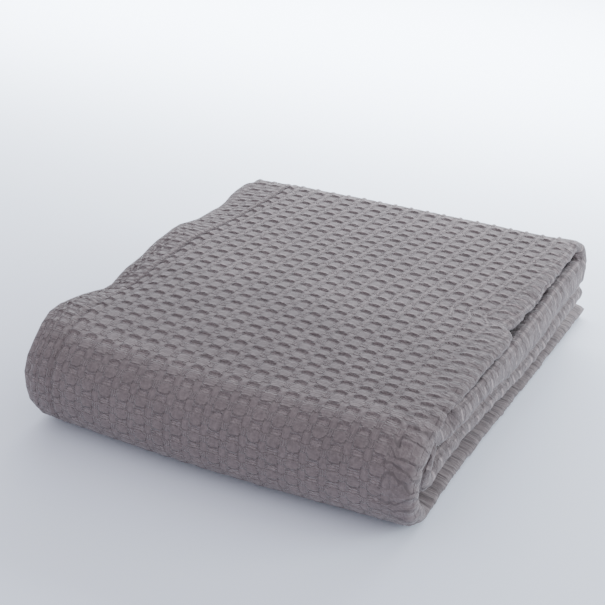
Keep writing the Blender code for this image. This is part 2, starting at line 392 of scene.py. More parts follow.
def settle(sizes, x, y, z, run):
    """Lay points of the even package as the cloth really lies, with its foot kept flat."""
    half_width = 0.5 * sizes.package_width
    half_depth = 0.5 * sizes.package_depth
    pitch = sizes.layer_pitch
    share = z / (PACKAGE_LEVELS * pitch + sizes.cloth_thickness)
    near_left = smooth(-half_width + LEFT_EDGE_SPREAD, -half_width, x)
    near_right = smooth(half_width - RIGHT_EDGE_SPREAD, half_width, x)
    at_reach = smooth(half_width - REACH_SPREAD, half_width, x)
    near_front = smooth(-half_depth + BULGE_REACH * sizes.front_fold_depth, -half_depth, y)
    near_back = smooth(0.0, half_depth, y)

    pull = column(LEFT_EDGE, LEFT_COLUMNS, "pull", y)
    pull = pull * (PULL_AT_FOOT + (1.0 - PULL_AT_FOOT) * share)
    pull = pull + run_value(run, "left_setback")
    new_x = x + near_left * pull + at_reach * lip_reach(run, y)
    undercut = plateau(UNDERCUT_LEVELS, z / pitch) * smooth(*UNDERCUT_FRONT, y)
    undercut = undercut * smooth(half_width - UNDERCUT_WIDTH, half_width, x)
    new_x = new_x - UNDERCUT * undercut
    for at_y, at_z, depth, y_radius, z_radius in DENTS:
        away = ((y - at_y) / y_radius) ** 2 + ((z - at_z) / z_radius) ** 2
        new_x = new_x - depth * near_right * np.exp(-away)

    middle = np.maximum(0.0, np.cos(math.pi * x / sizes.package_width))
    foot = smooth(*FOOT_SHARES, share)
    new_y = y - near_front * middle * (FRONT_BULGE * (1.0 - share) + FRONT_FOOT * foot)

    rise = DOME_RISE * middle + BACK_RISE * near_back
    forward = np.clip((SHOULDER_FROM - y) / (SHOULDER_FROM - SHOULDER_TO), 0.0, 1.0) ** 2.0
    droop = DROOP_AT_SIDES + (1.0 - DROOP_AT_SIDES) * middle
    rise = rise - SHOULDER_DROOP * droop * forward
    rise = rise - near_left * column(LEFT_EDGE, LEFT_COLUMNS, "drop", y)
    rise = rise - near_right * column(RIGHT_EDGE, RIGHT_COLUMNS, "drop", y)
    risen = z + share * rise

    # The gaps between the runs at the right edge
    level = z / (GAP_LEVELS * pitch)
    gaps = [column(RIGHT_EDGE, RIGHT_COLUMNS, name, y) for name in RIGHT_COLUMNS[2:]]
    gaps.append(TOP_LEVEL * pitch + rise)
    at_edge = 0.0
    below = 0.0
    for number, gap in enumerate(gaps):
        at_edge = at_edge + np.clip(level - number, 0.0, 1.0) * (gap - below)
        below = gap
    weight = smooth(half_width - GAP_SPREAD, half_width - GAP_RUN_OUT, x) * smooth(*GAP_FRONT, y)
    return new_x, new_y, np.maximum(0.0, risen + weight * (at_edge - risen))


class Cloth:
    """The folded cloth as a surface: from a place on the flat cloth to a place in the room."""

    def __init__(self, sizes):
        self.sizes = sizes
        self.across, self.section = strip_section(sizes)
        self.along, self.path = strip_path(sizes)
        self.width = float(self.across[-1])
        self.length = float(self.along[-1])

    def place(self, s, t, side):
        """Give the room places for flat places s, t; side is 1 outside and -1 inside."""
        sizes = self.sizes
        u, w, du, dw = [np.interp(s, self.across, self.section[:, k]) for k in range(4)]
        y, z, ny, nz, run = [np.interp(t, self.along, self.path[:, k]) for k in range(5)]
        in_hem = smooth(sizes.hem_width + HEM_STEP[0], sizes.hem_width + HEM_STEP[1], s)
        half = 0.5 * sizes.cloth_thickness * (1.0 + (HEM_THICKENING - 1.0) * in_hem)
        from_edge = np.minimum(np.minimum(s, self.width - s), np.minimum(t, self.length - t))
        round_off = 1.0 - (1.0 - np.clip(from_edge / EDGE_ROUNDING, 0.0, 1.0)) ** 2.0
        half = half * (EDGE_THINNEST + (1.0 - EDGE_THINNEST) * np.sqrt(np.maximum(0.0, round_off)))
        u = u + side * du * half
        w = w + side * dw * half
        floor = 0.5 * (sizes.layer_pitch - sizes.cloth_thickness)
        x, y, z = settle(sizes, u, y + w * ny, z + w * nz - floor, run)
        return x + SHIFT[0], y + SHIFT[1], z


class Weave:
    """The rows and columns of the weave, laid over the flat cloth."""

    def __init__(self, sizes, cloth):
        self.sizes = sizes
        self.cloth = cloth
        self.arc = np.random.default_rng(sizes.seed).uniform(*ARC_SPREAD, UNEVEN_GRID)
        self.slip = np.random.default_rng(sizes.seed + 1).normal(0.0, SLIP_SPREAD, UNEVEN_GRID)

    def column_at(self, s):
        return (s - FIRST_COLUMN) / self.sizes.cell_width

    def row_at(self, t):
        rows = np.array(ROWS)
        return float(np.interp(-t, -rows[:, 1], rows[:, 0]))

    def flat(self, c, r):
        """Give the flat place s, t for column c and row r; whole numbers are cell edges."""
        sizes = self.sizes
        length = self.cloth.length
        s = FIRST_COLUMN + c * sizes.cell_width
        t = straight(ROWS, ROW_COLUMNS, "along", r)
        lean = straight(LEAN, LEAN_COLUMNS, "lean", t)
        lean = lean * smooth(*LEANING_FROM, s) * smooth(*LEANING_TO, s)
        inside = smooth(0.0, STRAIGHT_ENDS, t) * smooth(length, length - STRAIGHT_ENDS, t)
        from_middle = c - np.floor(c) - 0.5
        low = np.floor(r)
        i = np.clip(np.floor(c).astype(int), 0, UNEVEN_GRID[0] - 2)
        j = np.clip(low.astype(int) + UNEVEN_FIRST_ROW, 0, UNEVEN_GRID[1] - 2)
        share = r - low
        arc = self.arc[i, j] * (1.0 - share) + self.arc[i, j + 1] * share
        slip = self.slip[i, j] * (1.0 - share) + self.slip[i, j + 1] * share
        across = np.clip(1.0 - (ARC_NARROWING * from_middle) ** 2, 0.0, 1.0)
        bend = (arc * sizes.arc_depth + slip * sizes.cell_length) * across
        bend = bend * smooth(*BOWED_TO, s) * smooth(*BOWED_FROM, s)
        dip = ROW_DIP * plateau(DIP_ACROSS, s) * plateau(DIP_ALONG, t)
        return s + lean, t + (bend - dip) * inside


class Lines:
    """The mesh lines in one direction: their places, and the cells between them with a kind."""

    def __init__(self, first):
        self.places = [first]
        self.cells = []
        self.kinds = []

    def add_cell(self, places, kind):
        start = len(self.places) - 1
        self.places.extend(places)
        self.cells.append((start, len(self.places) - 1))
        self.kinds.append(kind)


def lines_across(cloth, weave):
    """Lay the lines across: the hem's edge, the woven columns and the plain inner layers."""
    lines = Lines(weave.column_at(EDGE_LINES[0]))
    for place in EDGE_LINES[1:]:
        lines.add_cell([weave.column_at(place)], "edge")
    for place in (FIRST_HALF_COLUMN, 0.0):
        lines.add_cell([place], "edge")
    last_column = int(math.ceil(weave.column_at(LAST_COLUMN_AT)))
    for cell in range(last_column):
        lines.add_cell([cell + f for f in ACROSS[1:]] + [cell + 1.0], "weave")
    start = FIRST_COLUMN + last_column * weave.sizes.cell_width
    for place in plain_stations(cloth.across, cloth.section, start, cloth.width):
        lines.add_cell([weave.column_at(place)], "plain")
    return lines


def lines_along(cloth, weave):
    """Lay the lines along, from the strip's first hem to its last."""
    lines = Lines(weave.row_at(EDGE_LINES[0]))
    for place in EDGE_LINES[1:]:
        lines.add_cell([weave.row_at(place)], "edge")
    first = math.floor(lines.places[-1] - EDGE_MARGIN)
    lines.add_cell([float(first)], "edge")
    last = math.ceil(weave.row_at(cloth.length - EDGE_LINES[-1]) + EDGE_MARGIN)
    fine_from = math.ceil(weave.row_at(FINE_ROWS_FROM))
    fine_to = math.floor(weave.row_at(FINE_ROWS_TO))
    for cell in range(first - 1, last - 1, -1):
        fine = fine_to <= cell < fine_from
        fractions = (ALONG if fine else ALONG_LIPS)[:0:-1]
        kind = "top" if fine else "under" if cell >= fine_from else "lips"
        lines.add_cell([cell + f for f in fractions] + [float(cell)], kind)
    for place in EDGE_LINES[::-1]:
        lines.add_cell([weave.row_at(cloth.length - place)], "edge")
    return lines


def plain_stations(lengths, line, start, end):
    """Choose lines for a stretch without relief: few on the flat, more round the folds."""
    turn = np.concatenate([[0.0], np.cumsum(np.hypot(np.diff(line[:, 2]), np.diff(line[:, 3])))])
    low = np.interp(start, lengths, turn)
    measure = (turn - low) / PLAIN_TURN + (lengths - start) / PLAIN_LENGTH
    first = np.interp(start, lengths, measure)
    last = np.interp(end, lengths, measure)
    count = int(math.ceil(last))
    targets = first + np.arange(1, count + 1) / count * (last - first)
    places = list(np.interp(targets, measure, lengths))
    return places[:-1] + [end - place for place in EDGE_LINES[::-1]]


def cell_patches(across, along):
    """List the lines that each cell uses: all, some under the package, or its border alone."""
    under_across = {round(f, 4) for f in ACROSS_UNDER}
    first_woven = across.kinds.index("weave")
    patches = []
    for side in (0, 1):
        for number, (c0, c1) in enumerate(across.cells):
            woven = side == 0 and across.kinds[number] == "weave"
            on_lip = number - first_woven >= FIRST_LIP_COLUMN
            for (r0, r1), kind in zip(along.cells, along.kinds):
                columns = [c0, c1]
                rows = [r0, r1]
                if woven and (kind == "top" or on_lip):
                    columns = list(range(c0, c1 + 1))
                    rows = list(range(r0, r1 + 1))
                elif woven and kind == "under":
                    places = [(k, across.places[k] - across.places[c0]) for k in range(c0, c1)]
                    columns = [k for k, place in places if round(place, 4) in under_across] + [c1]
                    rows = [r0] + list(range(r0 + 2, r1, 2)) + [r1]
                patches.append((side, columns, rows))
    return patches


def used_lines(patches, columns, rows):
    """Mark the crossings of lines that carry a point, on each side."""
    used = np.zeros((2, columns, rows), dtype=bool)
    for side, across, along in patches:
        used[side][np.ix_(across, along)] = True
    # Both sides meet at the cloth's edges, so an edge line's points are on both
    for i in (0, columns - 1):
        used[:, i, :] |= used[::-1, i, :]
    for j in (0, rows - 1):
        used[:, :, j] |= used[::-1, :, j]
    return used


def patch_faces(grid, across, along):
    """Fill a cell's lines with faces, whose border takes in every point of its neighbours."""
    faces = []
    for a, (i0, i1) in enumerate(zip(across, across[1:])):
        for b, (j0, j1) in enumerate(zip(along, along[1:])):
            loop = [grid[i0, j0]]
            if b == 0:
                loop += [n for n in grid[i0 + 1:i1, j0] if n >= 0]
            loop.append(grid[i1, j0])
            if a == len(across) - 2:
                loop += [n for n in grid[i1, j0 + 1:j1] if n >= 0]
            loop.append(grid[i1, j1])
            if b == len(along) - 2:
                loop += [n for n in grid[i0 + 1:i1, j1][::-1] if n >= 0]
            loop.append(grid[i0, j1])
            if a == 0:
                loop += [n for n in grid[i0, j0 + 1:j1][::-1] if n >= 0]
            faces.append(loop)
    return faces


def rim_faces(number, used, columns, rows):
    """Join the two sides round the cloth's edges."""
    rim = [(i, 0) for i in range(columns - 1)]
    rim += [(columns - 1, j) for j in range(rows - 1)]
    rim += [(i, rows - 1) for i in range(columns - 1, 0, -1)]
    rim += [(0, j) for j in range(rows - 1, 0, -1)]
    rim = [(i, j) for i, j in rim if used[0, i, j]]
    return [
        [number[0, i1, j1], number[0, i0, j0], number[1, i0, j0], number[1, i1, j1]]
        for (i0, j0), (i1, j1) in zip(rim, rim[1:] + rim[:1])
    ]


def hem_wave(s, t, r):
    """Say how far the hem's edge stands out where the rows of the weave end in it."""
    wave = sum(share * np.cos(turn * r + start) for share, turn, start in HEM_WAVES)
    return HEM_WAVE * wave * smooth(*HEM_WAVE_WIDTHS, s) * plateau(HEM_WAVE_ALONG, t)


def mesh_cloth(cloth, weave):
    """Build the closed mesh of the cloth, fine where it shows and coarse inside the folds."""
    across = lines_across(cloth, weave)
    along = lines_along(cloth, weave)
    columns = len(across.places)
    rows = len(along.places)
    patches = cell_patches(across, along)
    used = used_lines(patches, columns, rows)
    number = -np.ones(used.shape, dtype=int)
    number[used] = np.arange(int(used.sum()))

    side_at, i_at, j_at = np.nonzero(used)
    c = np.array(across.places)[i_at]
    r = np.array(along.places)[j_at]
    s, t = weave.flat(c, r)
    s = np.clip(s, 0.0, cloth.width)
    t = np.clip(t, 0.0, cloth.length)
    x, y, z = cloth.place(s, t, np.where(side_at == 0, 1.0, -1.0))
    wave = hem_wave(s, t, r)
    points = np.stack([x - wave, y, z + HEM_WAVE_RISE * wave], axis=1)

    faces = []
    for side, patch_across, patch_along in patches:
        loops = patch_faces(number[side], patch_across, patch_along)
        faces += loops if side == 0 else [loop[::-1] for loop in loops]
    faces += rim_faces(number, used, columns, rows)

    mesh = bpy.data.meshes.new("folded_blanket")
    mesh.from_pydata(points.tolist(), [], [[int(n) for n in loop] for loop in faces])
    add_maps(mesh, cloth, s, t, c, r, relief_amount(cloth, s, t, side_at, c))
    mesh.update()
    return mesh


def relief_amount(cloth, s, t, side_at, c):
    """Say how strong the relief is: full on the outside, weaker in the hem, none at edges."""
    from_edge = np.minimum(np.minimum(s, cloth.width - s), np.minimum(t, cloth.length - t))
    amount = smooth(*RELIEF_EDGE, from_edge) * np.where(side_at == 0, 1.0, 0.0)
    return amount * np.where(c < GROOVE_COLUMN, HEM_RELIEF, 1.0) * smooth(*RELIEF_END, s)


def add_maps(mesh, cloth, s, t, c, r, amount):
    """Store the cell numbers, the relief's strength and the maps that the material reads."""
    cell = mesh.attributes.new("weave", "FLOAT_VECTOR", "POINT")
    cell.data.foreach_set("vector", np.stack([c, r, amount], axis=1).ravel())
    lip = mesh.attributes.new("lip", "FLOAT", "POINT")
    lip.data.foreach_set("value", smooth(*LIP_START, s) * smooth(*RELIEF_END, s))
    index = np.empty(len(mesh.loops), dtype=np.int32)
    mesh.loops.foreach_get("vertex_index", index)
    maps = {"cloth": (s / cloth.length, t / cloth.length), "cells": (c, r)}
    for name, (first, second) in maps.items():
        flat = np.stack([first[index], second[index]], axis=1)
        uv = mesh.uv_layers.new(name=name)
        uv.data.foreach_set("uv", flat.astype(np.float32).ravel())


def add_node(tree, kind, **settings):
    """Add a node and set its own settings by name."""
    node = tree.nodes.new(kind)
    for key, value in settings.items():
        setattr(node, key, value)
    return node


def link_in(tree, node, *inputs):
    """Link or set a node's inputs in order; None leaves an input as it is."""
    for socket, value in zip(node.inputs, inputs):
        if value is None:
            continue
        if isinstance(value, bpy.types.NodeSocket):
            tree.links.new(value, socket)
        else:
            socket.default_value = value
    return node.outputs[0]


def maths(tree, operation, *inputs):
    return link_in(tree, add_node(tree, "ShaderNodeMath", operation=operation), *inputs)


def times(tree, first, *others):
    """Multiply values with each other."""
    for other in others:
        first = maths(tree, "MULTIPLY", first, other)
    return first


def mixed_in(tree, value, weight, total):
    """Add a value to a total with a weight."""
    return maths(tree, "MULTIPLY_ADD", value, weight, total)


def less_by(tree, value, share=1.0):
    """Give 1 where the value is 0, and 1 less the share where it is 1."""
    return maths(tree, "MULTIPLY_ADD", value, -share, 1.0)


def peak(tree, off, steepness):
    """Give 1 where the distance is 0, falling to 0 beside it."""
    return maths(tree, "MAXIMUM", less_by(tree, off, steepness), 0.0)


def ranged(tree, value, low, high, at_low, at_high, blending="SMOOTHSTEP"):
    """Move a value from one range into another, held at both ends."""
    node = add_node(tree, "ShaderNodeMapRange", interpolation_type=blending)
    return link_in(tree, node, value, low, high, at_low, at_high)


def in_cell(tree, across, along):
    """Say where a point lies in its cell: from the middle, 0 to 1, and from the crest."""
    doubled = maths(tree, "MULTIPLY_ADD", maths(tree, "FRACT", across), 2.0, -1.0)
    return maths(tree, "ABSOLUTE", doubled), maths(tree, "FRACT", along)


def split(tree, vector):
    """Give a vector's three parts."""
    parts = add_node(tree, "ShaderNodeSeparateXYZ")
    tree.links.new(vector, parts.inputs[0])
    return parts.outputs


def scaled(tree, vector, scale):
    """Give a vector made longer or shorter."""
    node = add_node(tree, "ShaderNodeVectorMath", operation="SCALE")
    tree.links.new(vector, node.inputs[0])
    if isinstance(scale, float):
        node.inputs["Scale"].default_value = scale
    else:
        tree.links.new(scale, node.inputs["Scale"])
    return node.outputs[0]


def noise(tree, vector, scale, detail, roughness=0.5):
    """Give a soft noise about 0.5, on a vector or else on the object's own places."""
    node = add_node(tree, "ShaderNodeTexNoise", noise_dimensions="3D")
    if vector is not None:
        tree.links.new(vector, node.inputs["Vector"])
    node.inputs["Scale"].default_value = scale
    node.inputs["Detail"].default_value = detail
    node.inputs["Roughness"].default_value = roughness
    return node.outputs[0]


def stored(tree, name, kind):
    """Read one of the mesh's own attributes."""
    node = add_node(tree, "GeometryNodeInputNamedAttribute", data_type=kind)
    node.inputs["Name"].default_value = name
    return [socket for socket in node.outputs if socket.enabled][0]


def curve(tree, value, points):
    """Put a value through a curve from 0 to 1 given by its points."""
    node = add_node(tree, "ShaderNodeFloatCurve")
    line = node.mapping.curves[0]
    while len(line.points) < len(points):
        line.points.new(0.5, 0.5)
    for point, (x, y) in zip(line.points, points):
        point.location = (x, y)
        point.handle_type = "AUTO_CLAMPED"
    node.mapping.update()
    tree.links.new(value, node.inputs["Value"])
    return node.outputs[0]


# Heights inside a cell. Along: from the crest at its back edge, down a steep wall into the
# pit, then up the pillow to the next crest. Across: from the cell's middle to its side.
PIT_ALONG = (
    (0.0, 0.0), (0.055, 0.90), (0.11, 1.0), (0.19, 0.75), (0.29, 0.25), (0.42, 0.0), (1.0, 0.0),
)
PIT_ACROSS = ((0.0, 1.0), (0.25, 0.96), (0.52, 0.68), (0.72, 0.10), (0.82, 0.0), (1.0, 0.0))
PILLOW_ALONG = (
    (0.0, 1.0), (0.055, 0.10), (0.11, 0.0), (0.29, 0.0), (0.42, 0.32),
    (0.64, 0.55), (0.82, 0.52), (0.93, 0.60), (1.0, 1.0),
)
PILLOW_ACROSS = ((0.0, 1.0), (0.22, 0.96), (0.46, 0.75), (0.66, 0.25), (0.80, 0.0), (1.0, 0.0))
PATCH_ALONG = (
    (0.0, 0.85), (0.11, 1.0), (0.24, 0.85), (0.34, 0.35), (0.42, 0.0),
    (0.84, 0.0), (0.93, 0.40), (1.0, 0.85),
)
PATCH_ACROSS = ((0.0, 0.0), (0.48, 0.0), (0.60, 0.45), (0.75, 0.90), (1.0, 1.0))
RIB_ACROSS = ((0.0, 0.0), (0.80, 0.0), (0.86, 0.15), (0.94, 0.80), (1.0, 1.0))
CUT_ALONG = ((0.0, 1.0), (0.11, 0.70), (0.30, 0.15), (0.62, 0.0), (0.85, 0.15), (1.0, 1.0))


# What the relief's tree takes in
RELIEF_INPUTS = (
    ("Pit Depth", "NodeSocketFloat", 0.00058),
    ("Rib Height", "NodeSocketFloat", 0.0009),
    ("Pillow Height", "NodeSocketFloat", 0.0010),
    ("Patch Height", "NodeSocketFloat", 0.0004),
    ("Cut Depth", "NodeSocketFloat", 0.0003),
    ("Crumple", "NodeSocketFloat", 0.0018),
    ("Groove Column", "NodeSocketFloat", GROOVE_COLUMN),
    ("Groove Depth", "NodeSocketFloat", 0.0019),
    ("Ridge Height", "NodeSocketFloat", 0.0007),
    ("Seed", "NodeSocketInt", 7),
    ("Material", "NodeSocketMaterial", None),
)

# Points on a row's line are moved a little, so that they all fall into the same cell
ROW_NUDGE = 1e-4
CELL_DEPTHS = (0.70, 1.20)
RIBS_FADE = (12.0, 22.0)
RIBS_ON_FRONT = 0.06
CUTS_FADE = (30.0, 33.0)
RELIEF_ON_LIP = 0.1
CELL_STRIDE = 977.0

# Crumpling: scales of the coarse and the fine noise, and how strong each is in its places
CRUMPLE_SCALES = (75.0, 210.0)
COARSE_EVERYWHERE = 0.6
COARSE_ON_LIP = 1.4
FINE_ON_LIP = 1.6
FINE_IN_HEM = 0.9
FINE_HEM_FADE = (1.7, 2.1)

# The groove: how steep it is, how deep it still is at a crest, and where its ridges lie
GROOVE_STEEPNESS = 5.0
GROOVE_SOFTNESS = 0.2
GROOVE_AT_CREST = 0.3
RIDGE_OFF_GROOVE = 0.30
RIDGE_STEEPNESS = 6.0


def woven_height(tree, given, across, along, lip, chance):
    """Add up a cell's pit, pillow, rib and side patch, and the cuts across the lips."""
    nudged = maths(tree, "ADD", along, ROW_NUDGE)
    from_middle, in_row = in_cell(tree, across, nudged)
    pit = times(tree, curve(tree, in_row, PIT_ALONG), curve(tree, from_middle, PIT_ACROSS))
    pit = times(tree, pit, given["Pit Depth"], chance)
    pillow = times(tree, curve(tree, in_row, PILLOW_ALONG), curve(tree, from_middle, PILLOW_ACROSS))
    on_top = ranged(tree, along, *RIBS_FADE, 1.0, RIBS_ON_FRONT)
    rib = times(tree, curve(tree, from_middle, RIB_ACROSS), given["Rib Height"], on_top)
    patch = times(tree, curve(tree, in_row, PATCH_ALONG), curve(tree, from_middle, PATCH_ACROSS))
    height = mixed_in(tree, patch, given["Patch Height"], rib)
    height = mixed_in(tree, pillow, given["Pillow Height"], height)
    height = maths(tree, "SUBTRACT", height, pit)
    height = times(tree, height, less_by(tree, lip, 1.0 - RELIEF_ON_LIP))
    twice = maths(tree, "FRACT", times(tree, nudged, 2.0))
    cut = maths(tree, "ADD", curve(tree, in_row, CUT_ALONG), curve(tree, twice, CUT_ALONG))
    above = ranged(tree, along, *CUTS_FADE, 1.0, 0.0, "LINEAR")
    cut = times(tree, cut, above, given["Cut Depth"], chance, lip)
    return maths(tree, "SUBTRACT", height, cut), in_row


def crumpled_height(tree, given, across, lip):
    """Crumple the cloth a little everywhere, and more in the hem and on the lips."""
    noises = [noise(tree, None, scale, 2.0) for scale in CRUMPLE_SCALES]
    coarse, fine = [maths(tree, "SUBTRACT", value, 0.5) for value in noises]
    hem = ranged(tree, across, *FINE_HEM_FADE, FINE_IN_HEM, 0.0, "LINEAR")
    fine = times(tree, fine, maths(tree, "MAXIMUM", times(tree, lip, FINE_ON_LIP), hem))
    strength = mixed_in(tree, lip, COARSE_ON_LIP, COARSE_EVERYWHERE)
    return times(tree, mixed_in(tree, coarse, strength, fine), given["Crumple"])


def grooved_height(tree, given, across, in_row):
    """Press the hem's stitched groove, shallower at each crest, with a ridge on both sides."""
    off = maths(tree, "ABSOLUTE", maths(tree, "SUBTRACT", across, given["Groove Column"]))
    near = maths(tree, "SMOOTH_MIN", peak(tree, off, GROOVE_STEEPNESS), 1.0, GROOVE_SOFTNESS)
    pucker = maths(tree, "SINE", times(tree, in_row, math.pi))
    pucker = mixed_in(tree, pucker, 1.0 - GROOVE_AT_CREST, GROOVE_AT_CREST)
    groove = times(tree, near, pucker, given["Groove Depth"])
    beside = maths(tree, "ABSOLUTE", maths(tree, "SUBTRACT", off, RIDGE_OFF_GROOVE))
    ridge = times(tree, peak(tree, beside, RIDGE_STEEPNESS), given["Ridge Height"])
    return maths(tree, "SUBTRACT", ridge, groove)


def moved_out(tree, geometry, height):
    """Move the surface outwards by a height, and nothing below what the cloth lies on."""
    normal = add_node(tree, "GeometryNodeInputNormal")
    shaped = add_node(tree, "GeometryNodeSetPosition")
    tree.links.new(geometry, shaped.inputs["Geometry"])
    tree.links.new(scaled(tree, normal.outputs[0], height), shaped.inputs["Offset"])
    place = add_node(tree, "GeometryNodeInputPosition")
    lift = add_node(tree, "ShaderNodeVectorMath", operation="MAXIMUM")
    tree.links.new(place.outputs[0], lift.inputs[0])
    lift.inputs[1].default_value = (-10.0, -10.0, 0.0)
    resting = add_node(tree, "GeometryNodeSetPosition")
    tree.links.new(shaped.outputs[0], resting.inputs["Geometry"])
    tree.links.new(lift.outputs[0], resting.inputs["Position"])
    return resting.outputs[0]


def relief_tree():
    """The Geometry Nodes tree that presses the woven cells into the smooth cloth."""
    tree = bpy.data.node_groups.new("woven_relief", "GeometryNodeTree")
    tree.interface.new_socket("Geometry", in_out="INPUT", socket_type="NodeSocketGeometry")
    for name, kind, value in RELIEF_INPUTS:
        tree.interface.new_socket(name, in_out="INPUT", socket_type=kind).default_value = value
    tree.interface.new_socket("Geometry", in_out="OUTPUT", socket_type="NodeSocketGeometry")
    given = {socket.name: socket for socket in add_node(tree, "NodeGroupInput").outputs}
    across, along, amount = split(tree, stored(tree, "weave", "FLOAT_VECTOR"))
    lip = stored(tree, "lip", "FLOAT")

    # Every cell has its own depth
    row = maths(tree, "FLOOR", maths(tree, "ADD", along, ROW_NUDGE))
    number = mixed_in(tree, maths(tree, "FLOOR", across), CELL_STRIDE, row)
    chance = add_node(tree, "FunctionNodeRandomValue", data_type="FLOAT")
    sockets = {socket.name: socket for socket in chance.inputs if socket.enabled}
    sockets["Min"].default_value, sockets["Max"].default_value = CELL_DEPTHS
    tree.links.new(number, sockets["ID"])
    tree.links.new(given["Seed"], sockets["Seed"])
    chance = [socket for socket in chance.outputs if socket.enabled][0]

    height, in_row = woven_height(tree, given, across, along, lip, chance)
    height = maths(tree, "ADD", height, crumpled_height(tree, given, across, lip))
    height = maths(tree, "ADD", height, grooved_height(tree, given, across, in_row))
    resting = moved_out(tree, given["Geometry"], times(tree, height, amount))
    real = add_node(tree, "GeometryNodeRealizeInstances")
    tree.links.new(resting, real.inputs[0])
    dressed = add_node(tree, "GeometryNodeSetMaterial")
    tree.links.new(real.outputs[0], dressed.inputs["Geometry"])
    tree.links.new(given["Material"], dressed.inputs["Material"])
    end = add_node(tree, "NodeGroupOutput")
    tree.links.new(dressed.outputs[0], end.inputs[0])
    return tree


def bake(name, mesh, tree, values):
    """Run a Geometry Nodes tree on a mesh and keep the result as a plain piece."""
    start = bpy.data.objects.new(name + "_start", mesh)
    bpy.context.scene.collection.objects.link(start)
    modifier = start.modifiers.new("nodes", "NODES")
    modifier.node_group = tree
    for item in tree.interface.items_tree:
        if item.item_type == "SOCKET" and item.in_out == "INPUT" and item.name in values:
            modifier[item.identifier] = values[item.name]
    bpy.context.view_layer.update()
    evaluated = start.evaluated_get(bpy.context.evaluated_depsgraph_get())
    baked = bpy.data.meshes.new_from_object(evaluated)
    start.modifiers.clear()
    bpy.data.objects.remove(start, do_unlink=True)
    piece = bpy.data.objects.new(name, baked)
    bpy.context.scene.collection.objects.link(piece)
    for polygon in baked.polygons:
        polygon.use_smooth = True
    return piece


def band(tree, value, low, high, soft):
    """Give 1 where a value lies between low and high, with soft ends."""
    up = ranged(tree, value, low - soft, low + soft, 0.0, 1.0)
    down = ranged(tree, value, high - soft, high + soft, 1.0, 0.0)
    return times(tree, up, down)


# A wave texture of scale 1 repeats after this length
WAVE_REPEAT = 0.314

# Stripes on the flat cloth: across which way, how far apart and how uneven
STRIPES = {
    "rib_threads": ("X", 0.0018, 4.0),
    "pit_threads": ("Y", 0.0016, 5.0),
    "hem_ribs": ("Y", 0.0058, 3.0),
    # These stripes lay out painted shade in the lips' creases
    "painted_crease_stripes": ("Y", 0.0085, 12.0),
}

# Noises on the flat cloth: scale and detail
NOISES = {"fuzz": (900.0, 3.0), "grain": (380.0, 2.0), "patches": (26.0, 3.0)}
NOISE_ROUGHNESS = 0.6


def stripes(tree, vector, name):
    """Give the stripes of a name, from 0 to 1."""
    direction, step, distortion = STRIPES[name]
    wave = add_node(tree, "ShaderNodeTexWave", wave_type="BANDS", bands_direction=direction)
    tree.links.new(vector, wave.inputs["Vector"])
    wave.inputs["Scale"].default_value = WAVE_REPEAT / step
    wave.inputs["Distortion"].default_value = distortion
    wave.inputs["Detail"].default_value = 2.0
    wave.inputs["Detail Scale"].default_value = 1.5
    return wave.outputs["Fac"]


# Where things lie, in columns, in rows or in parts of a cell: from, to and how soft. What goes
# on to one side ends far away.
FAR = 60.0
LIP_COLUMNS = (19.8, FAR, 0.5)
HEM_COLUMNS = (-FAR, GROOVE_COLUMN - 0.20, 0.12)
# Where the painted shade of the hem's groove lies
GROOVE_SHADE_COLUMNS = (GROOVE_COLUMN - 0.14, GROOVE_COLUMN + 0.14, 0.06)
# Rows that take painted shade where the top rounds into the front
SHOULDER_SHADE_ROWS = (14.0, 23.0, 2.5)
TOP_ROWS = (9.0, 21.0)
RIB = (0.66, FAR, 0.06)
RIB_LINE = (0.88, FAR, 0.05)
# Where the painted highlight lies on each crest
CREST_HIGHLIGHT_ROWS = (0.84, FAR, 0.04)
PIT_MIDDLE = (-FAR, 0.38, 0.07)
PIT_ROWS = (0.09, 0.33, 0.05)
PATCH_SIDE = (0.60, FAR, 0.06)
PATCH_OFF_MIDDLE = (0.20, FAR, 0.04)
PILLOW_ROUND = (-FAR, 0.92, 0.12)
# Where the painted shadow arc lies under each pillow
ARC_SHADOW_ROUND = (0.98, 1.16, 0.06)
ARC_SHADOW_ROWS = (0.72, FAR, 0.06)
# Where the painted shade lies in each crease stripe
PAINTED_CREASE_CREST = (0.80, FAR, 0.12)

# The pillow is a round: its stretch across and along a cell, and its middle
ROUND_ACROSS = 1.52
ROUND_ALONG = 3.3
ROUND_MIDDLE = 2.18

# Smooth pillows and patches, and lips, have flatter threads; the hem's lines are less pale
THREADS_LOST_WHERE_SMOOTH = 0.85
THREADS_LOST_ON_LIP = 0.85
LINES_LOST_IN_HEM = 0.7
# Strength of the painted shade in the lips' creases
PAINTED_CREASE_STRENGTH = 0.9

# How much a thing lightens the cloth: on the top, and on the front and the sides; the base is
# everywhere. The base, lines, pit, arc, groove, shoulder and crease tones carry painted light and
# shade, as noted at each; grain and patches are the cloth's own uneven tone
TONES = {
    # Painted shade: the base is darker on the top than on the front and the sides
    "base": (0.06, 0.18),
    # Pale threads, with a painted highlight that makes the lines much paler on the top
    "lines": (0.46, 0.05),
    "threads": (0.36, 0.22),
    # Pale floating threads in the pits, with painted light that makes them paler on the front
    "pit": (0.08, 0.34),
    # Painted shadow under each pillow's lower edge, on the front
    "arc": (0.0, -0.45),
    # Painted shade in the hem's groove, on the top
    "groove": (-0.30, 0.0),
    # Painted shade where the top rounds over into the front
    "painted_shoulder_shade": (-0.14, -0.14),
    # Painted shade in the creases of the lips
    "painted_crease_shade": (-0.60, -0.60),
    "grain": (0.90, 0.90),
    "patches": (0.50, 0.50),
}
# Strength of the painted highlight on each crest
CREST_HIGHLIGHT = 1.5
# How much more the painted shade darkens the creases
CREASE_SHADE = 0.35
DARKEST = 0.72
PALEST = 1.55

# How far a thing stands out in the bump, in parts of its distance
BUMP_DISTANCE = 0.0007
BUMPS = {"fuzz": 0.5, "pillow": 1.8, "hem_ribs": 0.9, "grain": 2.0}


